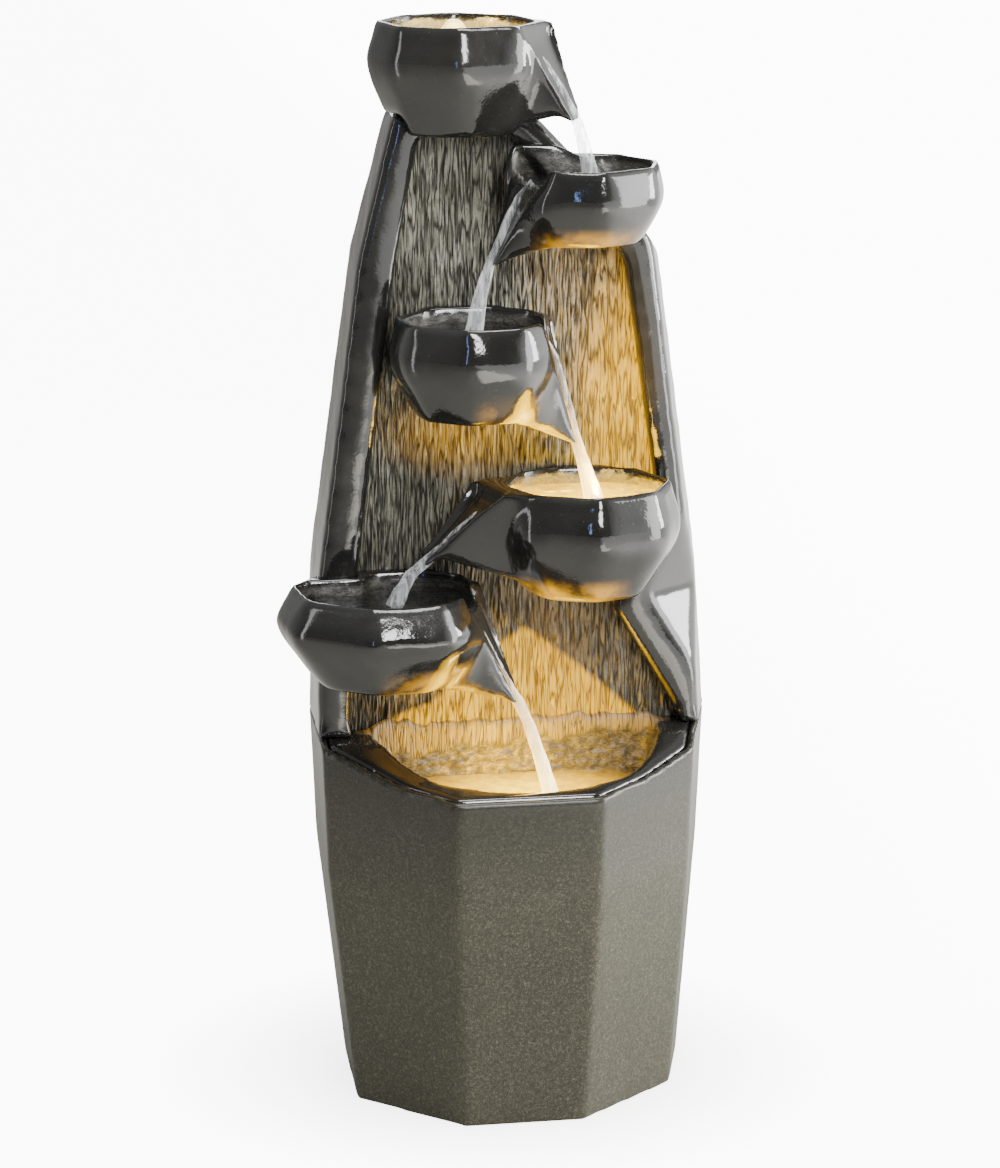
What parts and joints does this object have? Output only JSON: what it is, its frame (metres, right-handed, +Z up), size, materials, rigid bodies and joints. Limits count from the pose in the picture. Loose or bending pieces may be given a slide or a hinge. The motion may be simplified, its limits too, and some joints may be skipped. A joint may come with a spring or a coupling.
{
  "type": "garden fountain",
  "caption": "Standing cascade garden fountain: spouted black bowls stepping down a bark-textured column into a lit basin in a faceted stone-effect base, with a pump inside.",
  "frame": {"origin": "on the axis of the base, in the plane of its underside", "axes": "+Z up, -Y to the front where the bowls hang, +X to the right seen from the front"},
  "size_m": [0.4199, 0.3887, 1],
  "materials": {
    "granite_resin": "satin, stone-speckled cast resin",
    "basin_resin": "satin, rough rock-textured cast resin",
    "black_resin": "glossy, softly faceted cast resin",
    "bark_resin": "matt, dry-brushed bark texture",
    "knob_plastic": "gloss",
    "pump_plastic": "fine grain",
    "strainer_plastic": "fine grain",
    "impeller_plastic": "moulded white",
    "dial_plastic": "moulded blue",
    "hose_vinyl": "smooth black vinyl",
    "clip_plastic": "moulded",
    "rubber_black": "matt",
    "steel": "brushed",
    "ferrite": "ground",
    "nozzle_brass": "turned",
    "led_shell": "potted",
    "led_lens": "frosted, warm light behind it"
  },
  "bodies": {
    "body": {"base_tub": "granite_resin", "basin_deck": "basin_resin", "column_shell": "black_resin", "bark_panel": "bark_resin", "top_bowl": "black_resin", "second_bowl": "black_resin", "third_bowl": "black_resin", "fourth_bowl": "black_resin", "fifth_bowl": "black_resin", "column_dowels": "steel", "door_catches": "steel", "cord_grommet": "rubber_black", "outlet_nozzle": "nozzle_brass", "nozzle_gasket": "rubber_black", "nozzle_nut": "nozzle_brass", "pump_housing": "pump_plastic", "pump_cover": "pump_plastic", "pump_shaft": "steel", "pump_outlet": "pump_plastic", "pump_feet": "rubber_black", "riser_hose": "hose_vinyl", "hose_clamps": "steel", "hose_clips": "clip_plastic", "top_led_housing": "led_shell", "top_led_lens": "led_lens", "bowl_led_housing": "led_shell", "bowl_led_lens": "led_lens", "basin_led_housing": "led_shell", "basin_led_lens": "led_lens", "led_seals": "rubber_black"},
    "door": {"access_door": "black_resin", "door_knob": "knob_plastic", "knob_screw": "steel", "door_magnets": "ferrite"},
    "impeller": {"pump_impeller": "impeller_plastic"},
    "strainer": {"pump_strainer": "strainer_plastic"},
    "dial": {"flow_dial": "dial_plastic"}
  },
  "joints": [
    {"name": "door_pull", "type": "slide", "parent": "body", "child": "door", "axis": [0, 1, 0], "range_m": [0, 0.15]},
    {"name": "impeller_spin", "type": "hinge", "parent": "body", "child": "impeller", "pos_m": [-0.045, 0.032, 0.05], "axis": [1, 0, 0], "continuous": true},
    {"name": "strainer_pull", "type": "slide", "parent": "body", "child": "strainer", "axis": [-1, 0, 0], "range_m": [0, 0.03]},
    {"name": "flow_turn", "type": "hinge", "parent": "strainer", "child": "dial", "pos_m": [-0.0943, 0.032, 0.05], "axis": [1, 0, 0], "range_deg": [0, 90]}
  ]
}
